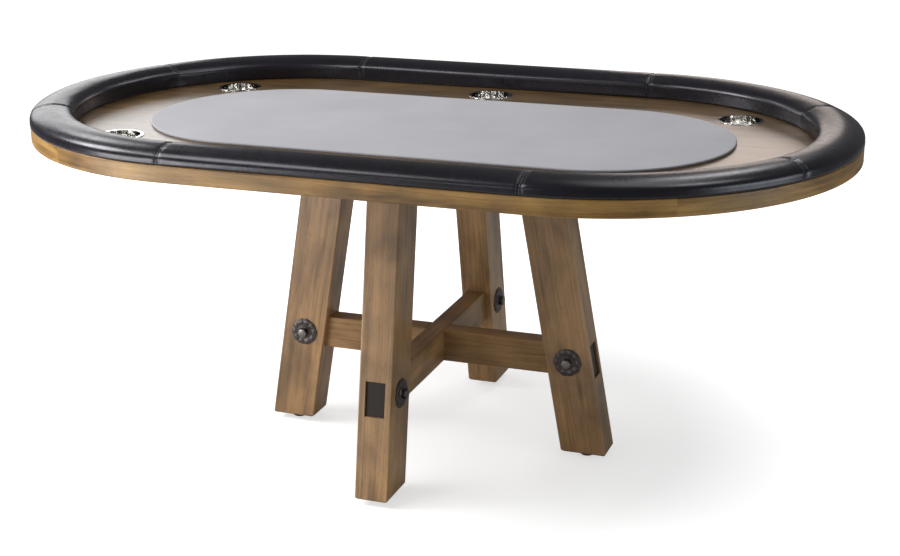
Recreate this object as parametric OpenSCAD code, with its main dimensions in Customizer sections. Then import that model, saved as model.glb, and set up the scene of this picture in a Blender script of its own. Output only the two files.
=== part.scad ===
// Oval poker table: a padded rail round a racetrack top with drop-in cup holders, on four
// splayed legs that two crossing stretchers tie together.
// Origin on the floor under the middle of the top, +X along the table, +Z up, millimetres.

/* [Overall] */
// Height from the floor to the top of the rail
table_h = 762; // [720:1:800]
// Length of the straight run between the two round ends
straight_l = 726; // [700:1:900]
// Radius of the round ends, to the outer face of the apron
end_r = 536.4; // [534:0.1:540]

/* [Top] */
// Height of the solid wood apron
apron_h = 35; // [33:1:36]
// Thickness of the solid wood apron
apron_t = 22; // [20:1:24]
// Radius of the eased edges of the wood
edge_r = 3; // [1:0.5:4]
// Thickness of the panel that carries the racetrack
panel_t = 19; // [18:1:19]
// Radius of the round ends of the playing surface
felt_r = 283; // [260:1:285]
// Thickness of the board under the playing cloth
board_t = 3; // [3:1:4]
// Thickness of the foam under the playing cloth
foam_t = 2; // [1:1:3]
// Thickness of the playing cloth
cloth_t = 1; // [0.8:0.1:1.2]

/* [Rail] */
// Height of the rail above the apron
rail_rise = 35; // [34:1:37]
// Half the width of the padded rail
rail_half_w = 47.4; // [47:0.1:48]
// Half the height of the round part of the padded rail
rail_half_h = 24; // [23:1:25]
// Thickness of the wooden core inside the rail
core_t = 32; // [30:1:33]
// Thickness of the vinyl cover
vinyl_t = 1.2; // [1:0.1:1.4]

/* [Cup holders] */
// Diameter of the rim of a cup holder
cup_rim_d = 102; // [98:1:104]
// Outer diameter of the cup below its rim
cup_d = 90; // [86:1:92]
// Depth of the cup below the racetrack
cup_depth = 52; // [45:1:54]
// Sheet thickness of the cup
cup_t = 1; // [0.8:0.1:1.2]
// Distance of a cup centre from the centre line or from the centre of its round end
cup_radius = 366; // [363:1:368]
// Direction of the corner cups from the table's long axis
cup_angle = 48; // [46:1:50]

/* [Legs] */
// Width of a leg across its splay
leg_w = 73; // [70:1:76]
// Depth of a leg along its splay
leg_d = 100; // [98:1:104]
// Distance from the middle of the table to the foot of a leg's centre line
leg_foot = 350; // [345:1:355]
// Lean of a leg from the vertical
leg_lean = 9.86; // [9.5:0.02:10.2]
// Width of the bevel round the foot of a leg
foot_bevel = 5; // [3:1:7]

/* [Stretchers] */
// Width of a stretcher
stretcher_w = 44; // [40:1:46]
// Height of a stretcher
stretcher_h = 73; // [70:1:76]
// Height of a stretcher's lower face above the floor
stretcher_z = 187; // [180:1:200]
// How far a tenon's end lies inside the outer face of its leg
tenon_recess = 4.5; // [3:0.5:6]

/* [Joinery] */
// Thickness of the plate on top of the base
plate_t = 18; // [16:1:20]
// Length of the side of the plate on top of the base
plate_l = 540; // [520:5:560]
// Width of the beams that join the legs at the top
beam_w = 44; // [40:1:46]
// Height of the beams that join the legs at the top
beam_h = 70; // [60:1:80]
// Diameter of the bolt through a tenon
tenon_bolt_d = 12; // [10:1:12]
// Diameter of the star washer
washer_d = 62; // [60:1:64]

/* [Levelling glides] */
// Height of a glide's foot
glide_h = 12; // [10:1:13]
// Diameter of a glide's foot
glide_d = 32; // [28:1:34]
// Diameter of a glide's threaded stem
glide_stem_d = 8; // [8:1:10]
// How far a glide screws out
glide_travel = 10; // [8:1:12]

/* [Hidden] */
$fn = 96;

// Directions of the four legs from the middle of the table
FRONT = -90;
BACK = 90;
LEFT = 180;
RIGHT = 0;
LEG_DIRECTIONS = [FRONT, BACK, LEFT, RIGHT];

// Colours
WOOD = "peru";
DARK_WOOD = "saddlebrown";
PLYWOOD = "burlywood";
CLOTH_GREY = "darkgray";
BLACK = [0.1, 0.1, 0.11];
FOAM = "khaki";
STEEL = "gainsboro";
IRON = "dimgray";

// Clearances
glue_gap = 0.2;      // between a panel and the wood round it
bolt_gap = 0.5;      // round a bolt in its hole
cup_gap = 1;         // round a cup in its hole
running_gap = 0.05;  // round a glide's stem in its insert

// Heights
half_l = straight_l / 2;
rail_top_z = table_h;
apron_top_z = rail_top_z - rail_rise;
apron_z = apron_top_z - apron_h;
panel_top_z = apron_z + panel_t;
cloth_top_z = panel_top_z + board_t + foam_t + cloth_t;
plate_z = apron_z - plate_t;
stretcher_mid_z = stretcher_z + stretcher_h / 2;
rail_mid_z = rail_top_z - rail_half_h;

// Rail section, as distances from the centre line of the straight run
apron_in_r = end_r - apron_t;
panel_r = apron_in_r - glue_gap;
rail_proud = 1;  // of the apron's face
rail_mid_r = end_r + rail_proud - rail_half_w;
rail_in_r = rail_mid_r - rail_half_w + 1;
step_r = apron_in_r - 0.5;
core_in_r = rail_in_r + 9;
core_out_r = end_r - 10;
tuck_in_r = core_in_r + 14;
tuck_out_r = end_r - 18;
core_top_z = panel_top_z + core_t;
arc_steps = 26;
section_angle = 60;  // of one cover section on a round end
apron_end_angle = 60;  // from the long axis to each end of a round apron piece

// Cup centres: three along the back, three along the front
cup_reach = half_l + cup_radius * cos(cup_angle);
cup_side = cup_radius * sin(cup_angle);
CUP_CENTRES = [
    [-cup_reach, -cup_side], [0, -cup_radius], [cup_reach, -cup_side],
    [-cup_reach, cup_side], [0, cup_radius], [cup_reach, cup_side],
];

// Legs: the distance of the centre line from the middle of the table at a height
function leg_reach(z) = leg_foot - (z - glide_h) * tan(leg_lean);
tenon_bolt_reach = leg_reach(stretcher_mid_z);

// Fasteners
washer_t = 5;
washer_petals = 10;
washer_hub_d = 26;
nut_across = 19;
nut_t = 10;
top_bolt_d = 8;
top_bolt_l = 28;
top_bolt_head_d = 15;
top_bolt_head_t = 4;
insert_wall = 1.5;
screw_d = 5;
screw_l = 60;
screw_head_d = 10;
screw_head_t = 3;
screw_spread = 29;
screw_top_z = apron_z - 1;
screw_tip_z = screw_top_z - screw_l;
beam_screw_reach = 120;
rail_bolt_d = 6;
rail_bolt_l = 36;
rail_bolt_head_d = 14;
rail_bolt_head_t = 3;
rail_bolt_r = 486;
rail_bolt_x = 220;
rail_bolt_angle = 60;
insert_l = 25;
panel_insert_l = 12;
glide_stem_l = 20 + glide_travel;
glide_stem_depth = 3;  // of the stem's end in the foot
glide_edge = 1.5;  // height and width of the foot's lower bevel
glide_top_t = 2;   // height of its sloping top
glide_top_gap = 0.3;  // between the foot and the leg
base_bolt_corner = [200, 200];
base_bolt_edge = [235, 120];
BASE_BOLT_SPOTS = [for (spot = [base_bolt_corner, base_bolt_edge], x = [-1, 1], y = [-1, 1])
    [x * spot[0], y * spot[1]]];
RAIL_BOLT_SPOTS = concat(
    [for (x = [-rail_bolt_x, rail_bolt_x], y = [-rail_bolt_r, rail_bolt_r]) [x, y]],
    [for (side = [-1, 1], a = [-rail_bolt_angle, 0, rail_bolt_angle])
        [side * (half_l + rail_bolt_r * cos(a)), rail_bolt_r * sin(a)]]
);

// ---------- shared shapes ----------

// The table's outline: a straight run with a half circle of radius r at each end
module oval(r) {
    square([straight_l, 2 * r], center = true);
    for (side = [-1, 1])
        translate([side * half_l, 0]) circle(r, $fn = 180);
}

module oval_slab(r, z, t) {
    translate([0, 0, z]) linear_extrude(t) oval(r);
}

// A rectangle w by h about the origin, with its corners rounded
module eased(w, h) {
    polygon([for (corner = [0 : 3], step = [0 : 3])
        let (a = 90 * corner + 30 * step, x = w / 2 - edge_r, y = h / 2 - edge_r)
        [(corner == 0 || corner == 3 ? x : -x) + edge_r * cos(a),
            (corner < 2 ? y : -y) + edge_r * sin(a)]]);
}

// A section drawn as (distance from the centre line, height), run along the front or back
module straight_run(side) {
    translate([-side * half_l, 0, 0])
        rotate([90, 0, side * 90]) linear_extrude(straight_l) children();
}

// The same section turned round one end; angles run from the front to the back of that end
module end_run(side, from, sweep) {
    mirror([side < 0 ? 1 : 0, 0, 0]) translate([half_l, 0, 0])
        rotate([0, 0, from]) rotate_extrude(angle = sweep, $fn = 180) children();
}

module at_spots(spots, z) {
    for (p = spots)
        translate([p[0], p[1], z]) children();
}

// Turns a shape that points along +X to one leg's direction
module toward(direction) {
    rotate([0, 0, direction]) children();
}

// ---------- top ----------

module cup_hole() {
    translate([0, 0, apron_z - 1]) cylinder(d = cup_d + 2 * cup_gap, h = panel_t + 2);
}

module top_panel() {
    color(WOOD) difference() {
        oval_slab(panel_r, apron_z, panel_t);
        at_spots(CUP_CENTRES, 0) cup_hole();
        at_spots(BASE_BOLT_SPOTS, apron_z - 1)
            cylinder(d = top_bolt_d + 2 * insert_wall, h = panel_insert_l + 1);
        at_spots(RAIL_BOLT_SPOTS, apron_z - 1) cylinder(d = rail_bolt_d + 2 * bolt_gap, h = panel_t + 2);
    }
}

module playing_board() {
    color(PLYWOOD) oval_slab(felt_r - cloth_t, panel_top_z, board_t);
}

module playing_foam() {
    color(FOAM) oval_slab(felt_r - cloth_t, panel_top_z + board_t, foam_t);
}

module playing_cloth() {
    color(CLOTH_GREY) difference() {
        oval_slab(felt_r, panel_top_z, cloth_top_z - panel_top_z);
        oval_slab(felt_r - cloth_t, panel_top_z - 1, board_t + foam_t + 1);
    }
}

module apron_section() {
    translate([apron_in_r + apron_t / 2, apron_z + apron_h / 2]) eased(apron_t, apron_h);
}

// A long apron piece runs on round each end as far as the end piece
module apron_side(side) {
    color(WOOD) mirror([0, side > 0 ? 1 : 0, 0]) union() {
        straight_run(-1) apron_section();
        for (end = [-1, 1])
            end_run(end, -90, 90 - apron_end_angle) apron_section();
    }
}

module apron_end(side) {
    color(WOOD) end_run(side, -apron_end_angle, 2 * apron_end_angle) apron_section();
}

// ---------- rail ----------

// Outline of the padded rail, drawn inset by i: half an ellipse whose sides come straight
// down, outside to the apron and inside to the racetrack
function rail_outline(i) =
    concat(
        [[rail_mid_r + rail_half_w - i, apron_top_z + i]],
        [for (k = [0 : arc_steps]) let (t = 180 * k / arc_steps)
            [rail_mid_r + (rail_half_w - i) * cos(t), rail_mid_z + (rail_half_h - i) * sin(t)]],
        [[rail_in_r + i, panel_top_z + i], [step_r, panel_top_z + i], [step_r, apron_top_z + i]]
    );

module core_section() {
    polygon([
        [core_in_r, panel_top_z + vinyl_t], [tuck_in_r, panel_top_z + vinyl_t],
        [tuck_in_r, panel_top_z], [step_r, panel_top_z], [step_r, apron_top_z + vinyl_t],
        [core_out_r, apron_top_z + vinyl_t], [core_out_r, core_top_z], [core_in_r, core_top_z],
    ]);
}

module foam_section() {
    difference() {
        polygon(rail_outline(vinyl_t));
        core_section();
    }
}

// The cover is open underneath, between its two tucked edges
module cover_section() {
    difference() {
        polygon(rail_outline(0));
        polygon(rail_outline(vinyl_t));
        translate([tuck_in_r, panel_top_z - 1])
            square([tuck_out_r - tuck_in_r, apron_top_z - panel_top_z + 1 + vinyl_t + 0.01]);
    }
}

// Holes for the inserts of the rail bolts
module rail_insert_holes() {
    at_spots(RAIL_BOLT_SPOTS, panel_top_z - 1)
        cylinder(d = rail_bolt_d + 2 * insert_wall, h = insert_l + 1);
}

module rail_core_side(side) {
    color(PLYWOOD) difference() {
        straight_run(side) core_section();
        rail_insert_holes();
    }
}

module rail_core_end(side) {
    color(PLYWOOD) difference() {
        end_run(side, -90, 180) core_section();
        rail_insert_holes();
    }
}

module rail_foam_side(side) {
    color(FOAM) straight_run(side) foam_section();
}

module rail_foam_end(side) {
    color(FOAM) end_run(side, -90, 180) foam_section();
}

module rail_cover_side(side) {
    color(BLACK) straight_run(side) cover_section();
}

module rail_cover_end(side, from) {
    color(BLACK) end_run(side, from, section_angle) cover_section();
}

// ---------- cup holders ----------

// Half section of a cup holder about its own axis, with z = 0 on the racetrack
module cup_section() {
    wall_r = cup_d / 2;
    rim_r = cup_rim_d / 2;
    bead = 1.5;
    corner = 7;
    difference() {
        union() {
            translate([0, -cup_depth]) square([wall_r - corner, cup_depth + 0.5]);
            translate([0, corner - cup_depth]) square([wall_r, cup_depth - corner + 0.5]);
            translate([wall_r - corner, corner - cup_depth]) circle(corner);
            square([rim_r - bead / 2, bead]);
            translate([rim_r - bead / 2, bead / 2]) circle(bead / 2);
        }
        translate([-1, corner - cup_depth]) square([wall_r - cup_t + 1, cup_depth]);
        translate([-1, cup_t - cup_depth]) square([wall_r - corner + 1, cup_depth]);
        translate([wall_r - corner, corner - cup_depth]) circle(corner - cup_t);
    }
}

module cup(index) {
    color(STEEL)
        at_spots([CUP_CENTRES[index]], panel_top_z)
            rotate_extrude($fn = 128) intersection() {
                cup_section();
                translate([0, -cup_depth - 1]) square([cup_rim_d, cup_depth + 10]);
            }
}

// ---------- base ----------

// One leg's timber along +X, cut level at the foot and under the plate
module leg_blank() {
    intersection() {
        translate([leg_foot, 0, glide_h]) rotate([0, -leg_lean, 0]) translate([0, 0, -table_h])
            linear_extrude(3 * table_h) eased(leg_d, leg_w);
        translate([0, -leg_w, glide_h]) cube([2 * leg_foot, 2 * leg_w, plate_z - glide_h]);
    }
}

// Cuts the bevel off the four lower edges of a leg
module foot_bevels() {
    side_of_cut = foot_bevel * sqrt(2);
    for (side = [-1, 1]) {
        translate([leg_foot, side * leg_w / 2, glide_h]) rotate([45, 0, 0])
            cube([2 * leg_d, side_of_cut, side_of_cut], center = true);
        translate([leg_foot + side * leg_d / 2 / cos(leg_lean), 0, glide_h]) rotate([0, 45, 0])
            cube([side_of_cut, 2 * leg_w, side_of_cut], center = true);
    }
}

// The space inside a leg's outer face, moved inward by inset; it trims what ends in the leg
module inside_leg_face(inset) {
    translate([leg_foot - inset, 0, glide_h]) rotate([0, -leg_lean, 0])
        translate([leg_d / 2 - 4 * leg_foot, -leg_foot, -table_h])
            cube([4 * leg_foot, 2 * leg_foot, 3 * table_h]);
}

module leg(direction) {
    color(WOOD) toward(direction) difference() {
        leg_blank();
        foot_bevels();
        translate([0, -stretcher_w / 2, stretcher_z]) cube([2 * leg_foot, stretcher_w, stretcher_h]);
        translate([tenon_bolt_reach, 0, stretcher_mid_z]) rotate([90, 0, 0])
            cylinder(d = tenon_bolt_d + 2 * bolt_gap, h = 2 * leg_w, center = true);
        leg_beam_space();
        translate([leg_foot, 0, glide_h - 1]) cylinder(d = glide_stem_d + 2 * insert_wall, h = insert_l + 1);
        translate([leg_foot, 0, glide_h]) cylinder(d = glide_stem_d + 1, h = glide_stem_l + 8);
        at_spots(leg_screw_spots(), screw_tip_z) cylinder(d = screw_d, h = screw_l);
    }
}

// The two screws that hold the plate to a leg
function leg_screw_spots() =
    let (reach = leg_reach(plate_z) + 4) [[reach, -screw_spread], [reach, screw_spread]];

// The notch in a leg's inner face that takes the end of a beam
module leg_beam_space() {
    translate([0, -beam_w / 2, plate_z - beam_h]) cube([leg_reach(plate_z), beam_w, beam_h + 1]);
}

// A stretcher along X, trimmed to both legs
module stretcher_bar() {
    intersection() {
        translate([-leg_foot * 2, 0, stretcher_mid_z]) rotate([90, 0, 90])
            linear_extrude(leg_foot * 4) eased(stretcher_w, stretcher_h);
        inside_leg_face(tenon_recess);
        mirror([1, 0, 0]) inside_leg_face(tenon_recess);
    }
}

module stretcher_bolt_holes() {
    for (side = [-1, 1])
        translate([side * tenon_bolt_reach, 0, stretcher_mid_z]) rotate([90, 0, 0])
            cylinder(d = tenon_bolt_d + 2 * bolt_gap, h = 2 * leg_w, center = true);
}

// The half lap is cut from the top of the long stretcher and the bottom of the cross one
module stretcher(lap_z) {
    difference() {
        stretcher_bar();
        stretcher_bolt_holes();
        translate([-stretcher_w / 2, -stretcher_w, lap_z])
            cube([stretcher_w, 2 * stretcher_w, stretcher_h / 2 + 1]);
    }
}

module stretcher_long() {
    color(DARK_WOOD) stretcher(stretcher_mid_z);
}

module stretcher_cross() {
    color(DARK_WOOD) toward(BACK) stretcher(stretcher_z - 1);
}

module beam(lap_z) {
    reach = leg_reach(plate_z);
    difference() {
        translate([-reach, -beam_w / 2, plate_z - beam_h]) cube([2 * reach, beam_w, beam_h]);
        translate([-beam_w / 2, -beam_w, lap_z]) cube([beam_w, 2 * beam_w, beam_h / 2 + 1]);
        at_spots(beam_screw_spots(), screw_tip_z) cylinder(d = screw_d, h = screw_l);
    }
}

// The screws that hold the plate to one beam
function beam_screw_spots() = [[-beam_screw_reach, 0], [beam_screw_reach, 0]];

module beam_long() {
    color(DARK_WOOD) beam(plate_z - beam_h / 2);
}

module beam_cross() {
    color(DARK_WOOD) toward(BACK) beam(plate_z - beam_h - 1);
}

// Every screw of the plate, as a ring of the same spots turned to each leg
module at_plate_screws() {
    for (direction = LEG_DIRECTIONS)
        toward(direction) at_spots(leg_screw_spots(), 0) children();
    for (direction = [RIGHT, BACK])
        toward(direction) at_spots(beam_screw_spots(), 0) children();
}

module mounting_plate() {
    color(PLYWOOD) difference() {
        translate([-plate_l / 2, -plate_l / 2, plate_z]) cube([plate_l, plate_l, plate_t]);
        at_spots(BASE_BOLT_SPOTS, plate_z - 1) cylinder(d = top_bolt_d + 2 * bolt_gap, h = plate_t + 2);
        at_plate_screws() {
            translate([0, 0, plate_z - 1]) cylinder(d = screw_d, h = plate_t + 2);
            translate([0, 0, screw_top_z - screw_head_t]) cylinder(d = screw_head_d, h = screw_head_t + 2);
        }
    }
}

// ---------- fasteners ----------

// Places a shape that points along +X, away from the leg, on both sides of each leg
module at_tenon_bolts(bolt_side) {
    for (direction = LEG_DIRECTIONS)
        toward(direction)
            translate([tenon_bolt_reach, 0, stretcher_mid_z])
                rotate([0, 0, bolt_side * head_side(direction)]) children();
}

// The bolt heads face the front on the side legs and the right on the other two
function head_side(direction) = direction == RIGHT || direction == BACK ? -90 : 90;

module tenon_bolts() {
    length = leg_w + 2 * washer_t + nut_t + 4;
    color(IRON) at_tenon_bolts(1) {
        translate([leg_w / 2 + washer_t, 0, 0]) rotate([0, 90, 0])
            cylinder(d = nut_across / cos(30), h = nut_t, $fn = 6);
        translate([leg_w / 2 + washer_t - length, 0, 0]) rotate([0, 90, 0])
            cylinder(d = tenon_bolt_d, h = length + 1);
    }
}

module tenon_nuts() {
    color(IRON) at_tenon_bolts(-1)
        translate([leg_w / 2 + washer_t, 0, 0]) rotate([0, 90, 0]) difference() {
            cylinder(d = nut_across / cos(30), h = nut_t, $fn = 6);
            translate([0, 0, -1]) cylinder(d = tenon_bolt_d, h = nut_t + 2);
        }
}

// A cast washer with petals round a raised hub, lying on z = 0
module star_washer() {
    petal_r = washer_d / 2 * sin(180 / washer_petals) / (1 + sin(180 / washer_petals));
    difference() {
        union() {
            cylinder(r = washer_d / 2 - petal_r, h = washer_t - 2);
            for (k = [0 : washer_petals - 1])
                rotate([0, 0, k * 360 / washer_petals]) translate([washer_d / 2 - petal_r, 0, 0])
                    cylinder(r = petal_r, h = washer_t - 1, $fn = 48);
            cylinder(d = washer_hub_d, h = washer_t);
        }
        translate([0, 0, -1]) cylinder(d = tenon_bolt_d + 2 * bolt_gap, h = washer_t + 2);
    }
}

module star_washers() {
    color(IRON)
        for (side = [-1, 1])
            at_tenon_bolts(side) translate([leg_w / 2, 0, 0]) rotate([0, 90, 0]) star_washer();
}

module plate_screws() {
    color(STEEL) at_plate_screws() {
        translate([0, 0, screw_top_z - screw_head_t]) cylinder(d = screw_head_d, h = screw_head_t);
        translate([0, 0, screw_tip_z]) cylinder(d = screw_d, h = screw_l - 1);
    }
}

module top_bolts() {
    color(STEEL) at_spots(BASE_BOLT_SPOTS, plate_z) {
        translate([0, 0, -top_bolt_head_t]) cylinder(d = top_bolt_head_d, h = top_bolt_head_t);
        translate([0, 0, -1]) cylinder(d = top_bolt_d, h = top_bolt_l);
    }
}

// Threaded sleeves in the panel, round the ends of the bolts from the base
module top_inserts() {
    color("goldenrod") at_spots(BASE_BOLT_SPOTS, apron_z) difference() {
        cylinder(d = top_bolt_d + 2 * insert_wall, h = panel_insert_l);
        translate([0, 0, -1]) cylinder(d = top_bolt_d, h = panel_insert_l + 2);
    }
}

module rail_bolts() {
    color(STEEL) at_spots(RAIL_BOLT_SPOTS, apron_z) {
        translate([0, 0, -rail_bolt_head_t]) cylinder(d = rail_bolt_head_d, h = rail_bolt_head_t);
        translate([0, 0, -1]) cylinder(d = rail_bolt_d, h = rail_bolt_l);
    }
}

module rail_inserts() {
    color("goldenrod") at_spots(RAIL_BOLT_SPOTS, panel_top_z) difference() {
        cylinder(d = rail_bolt_d + 2 * insert_wall, h = insert_l);
        translate([0, 0, -1]) cylinder(d = rail_bolt_d, h = insert_l + 2);
    }
}

module glide_inserts() {
    color("goldenrod")
        for (direction = LEG_DIRECTIONS)
            toward(direction) translate([leg_foot, 0, glide_h]) difference() {
                cylinder(d = glide_stem_d + 2 * insert_wall, h = insert_l);
                translate([0, 0, -1]) cylinder(d = glide_stem_d + 2 * running_gap, h = insert_l + 2);
            }
}

module glide_stem(direction) {
    color(STEEL) toward(direction)
        translate([leg_foot, 0, glide_h - glide_stem_depth])
            cylinder(d = glide_stem_d, h = glide_stem_l);
}

// The foot stops just below the leg, so that it never rubs
module glide_foot(direction) {
    color(BLACK) toward(direction) translate([leg_foot, 0, 0]) difference() {
        union() {
            cylinder(d1 = glide_d - 2 * glide_edge, d2 = glide_d, h = glide_edge);
            translate([0, 0, glide_edge]) cylinder(d = glide_d, h = glide_h - glide_top_t - glide_edge);
            translate([0, 0, glide_h - glide_top_t])
                cylinder(d1 = glide_d, d2 = glide_d - 6, h = glide_top_t - glide_top_gap);
        }
        translate([0, 0, glide_h - glide_stem_depth]) cylinder(d = glide_stem_d, h = glide_h);
    }
}

top_panel();
playing_board();
playing_foam();
playing_cloth();
apron_side(-1);  // apron_front
apron_side(1);  // apron_back
apron_end(-1);  // apron_left
apron_end(1);  // apron_right
rail_core_side(-1);  // rail_core_front
rail_core_side(1);  // rail_core_back
rail_core_end(-1);  // rail_core_left
rail_core_end(1);  // rail_core_right
rail_foam_side(-1);  // rail_foam_front
rail_foam_side(1);  // rail_foam_back
rail_foam_end(-1);  // rail_foam_left
rail_foam_end(1);  // rail_foam_right
rail_cover_side(-1);  // rail_cover_front
rail_cover_side(1);  // rail_cover_back
rail_cover_end(-1, -90);  // rail_cover_left_front
rail_cover_end(-1, -30);  // rail_cover_left_end
rail_cover_end(-1, 30);  // rail_cover_left_back
rail_cover_end(1, -90);  // rail_cover_right_front
rail_cover_end(1, -30);  // rail_cover_right_end
rail_cover_end(1, 30);  // rail_cover_right_back
cup(0);  // cup_front_left
cup(1);  // cup_front_middle
cup(2);  // cup_front_right
cup(3);  // cup_back_left
cup(4);  // cup_back_middle
cup(5);  // cup_back_right
leg(FRONT);  // leg_front
leg(BACK);  // leg_back
leg(LEFT);  // leg_left
leg(RIGHT);  // leg_right
stretcher_long();
stretcher_cross();
beam_long();
beam_cross();
mounting_plate();
tenon_bolts();
star_washers();
tenon_nuts();
plate_screws();
top_bolts();
top_inserts();
rail_bolts();
rail_inserts();
glide_inserts();
glide_stem(FRONT);  // glide_stem_front
glide_stem(BACK);  // glide_stem_back
glide_stem(LEFT);  // glide_stem_left
glide_stem(RIGHT);  // glide_stem_right
glide_foot(FRONT);  // glide_foot_front
glide_foot(BACK);  // glide_foot_back
glide_foot(LEFT);  // glide_foot_left
glide_foot(RIGHT);  // glide_foot_right
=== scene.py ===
import math
import random

import bpy
import numpy as np
from mathutils import Matrix, Vector
from mathutils.bvhtree import BVHTree


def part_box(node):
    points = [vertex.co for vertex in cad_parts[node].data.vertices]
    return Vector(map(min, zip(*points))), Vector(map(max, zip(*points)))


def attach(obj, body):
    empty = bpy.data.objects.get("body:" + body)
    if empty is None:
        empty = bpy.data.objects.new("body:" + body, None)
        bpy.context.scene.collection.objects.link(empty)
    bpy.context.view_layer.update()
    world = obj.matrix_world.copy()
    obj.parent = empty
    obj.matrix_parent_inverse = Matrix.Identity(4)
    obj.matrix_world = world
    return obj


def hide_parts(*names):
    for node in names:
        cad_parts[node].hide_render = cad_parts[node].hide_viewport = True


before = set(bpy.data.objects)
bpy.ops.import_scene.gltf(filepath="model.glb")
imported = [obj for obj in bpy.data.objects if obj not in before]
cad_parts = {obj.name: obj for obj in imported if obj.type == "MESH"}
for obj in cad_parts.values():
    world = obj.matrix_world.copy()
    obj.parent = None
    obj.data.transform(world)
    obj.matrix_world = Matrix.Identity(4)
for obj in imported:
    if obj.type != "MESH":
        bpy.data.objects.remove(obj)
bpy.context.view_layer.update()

SEED = 11
MM = 0.001
X_AXIS, Y_AXIS, Z_AXIS = (1, 0, 0), (0, 1, 0), (0, 0, 1)
WHITE = (1, 1, 1)

# ---------- sizes, read from the frame ----------

APRON_LOW, APRON_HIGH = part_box("apron_front")
COVER_LOW, COVER_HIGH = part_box("rail_cover_front")
CLOTH_LOW, CLOTH_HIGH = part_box("playing_cloth")
WASHER_LOW, WASHER_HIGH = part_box("star_washers")
BOLT_LOW, BOLT_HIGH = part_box("tenon_bolts")

END_R = -APRON_LOW.y                                # radius of the round ends
HALF_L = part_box("apron_right")[1].x - END_R         # half the straight run
APRON_TOP = APRON_HIGH.z
DECK_Z = COVER_LOW.z                                # the racetrack
RAIL_TOP = COVER_HIGH.z
RAIL_MID_R = -(COVER_LOW.y + COVER_HIGH.y) / 2
RAIL_HALF_W = (COVER_HIGH.y - COVER_LOW.y) / 2
RAIL_HALF_H = 24 * MM
RAIL_MID_Z = RAIL_TOP - RAIL_HALF_H
RAIL_IN_R = RAIL_MID_R - RAIL_HALF_W + 1 * MM
RAIL_OUT_R = RAIL_MID_R + RAIL_HALF_W
STEP_R = END_R - 22.5 * MM                          # just inside the apron
CLOTH_R = -CLOTH_LOW.y
LEG_HALF_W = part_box("leg_right")[1].y
LEG_LEAN = math.radians(9.86)
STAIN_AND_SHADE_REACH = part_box("stretcher_long")[1].x - 60 * MM       # the dark stain and painted shade of a tenon start here
WASHER_R = (WASHER_HIGH.z - WASHER_LOW.z) / 2
WASHER_T = 5 * MM
BOLT_Z = (BOLT_LOW.z + BOLT_HIGH.z) / 2
BOLT_REACH = WASHER_HIGH.x - WASHER_R               # from the middle of the table
NUT_T = 10 * MM
NUT_R = 11 * MM


# ---------- camera ----------

CAMERA_PLACE = (1.1888, -3.0926, 1.4514)
CAMERA_YAW, CAMERA_PITCH, CAMERA_ROLL = (math.radians(angle) for angle in (-19.18, 18.51, -0.28))
CAMERA_LENS = 62.99
CAMERA_SENSOR = 36
CAMERA_SHIFT = (-0.0395, 0.0138)
CAMERA_CLIP = 60


def make_camera():
    level = math.cos(CAMERA_PITCH)
    forward = Vector((math.sin(CAMERA_YAW) * level, math.cos(CAMERA_YAW) * level, -math.sin(CAMERA_PITCH)))
    side = Vector((math.cos(CAMERA_YAW), -math.sin(CAMERA_YAW), 0))
    up = side.cross(forward)
    right = side * math.cos(CAMERA_ROLL) + up * math.sin(CAMERA_ROLL)
    up = up * math.cos(CAMERA_ROLL) - side * math.sin(CAMERA_ROLL)
    data = bpy.data.cameras.new("camera")
    data.sensor_width = CAMERA_SENSOR
    data.lens = CAMERA_LENS
    data.shift_x, data.shift_y = CAMERA_SHIFT
    data.clip_end = CAMERA_CLIP
    camera = bpy.data.objects.new("camera", data)
    turn = Matrix((right, up, -forward)).transposed()
    camera.matrix_world = Matrix.Translation(CAMERA_PLACE) @ turn.to_4x4()
    bpy.context.scene.collection.objects.link(camera)
    bpy.context.scene.camera = camera


# ---------- node helpers ----------

MIX_FACTOR, MIX_A, MIX_B, MIX_RESULT = 0, 6, 7, 2    # sockets of a Mix node that mixes colours
NOISE_RANGE = (0.3, 0.7)    # where nearly all of a noise's values lie


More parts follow.
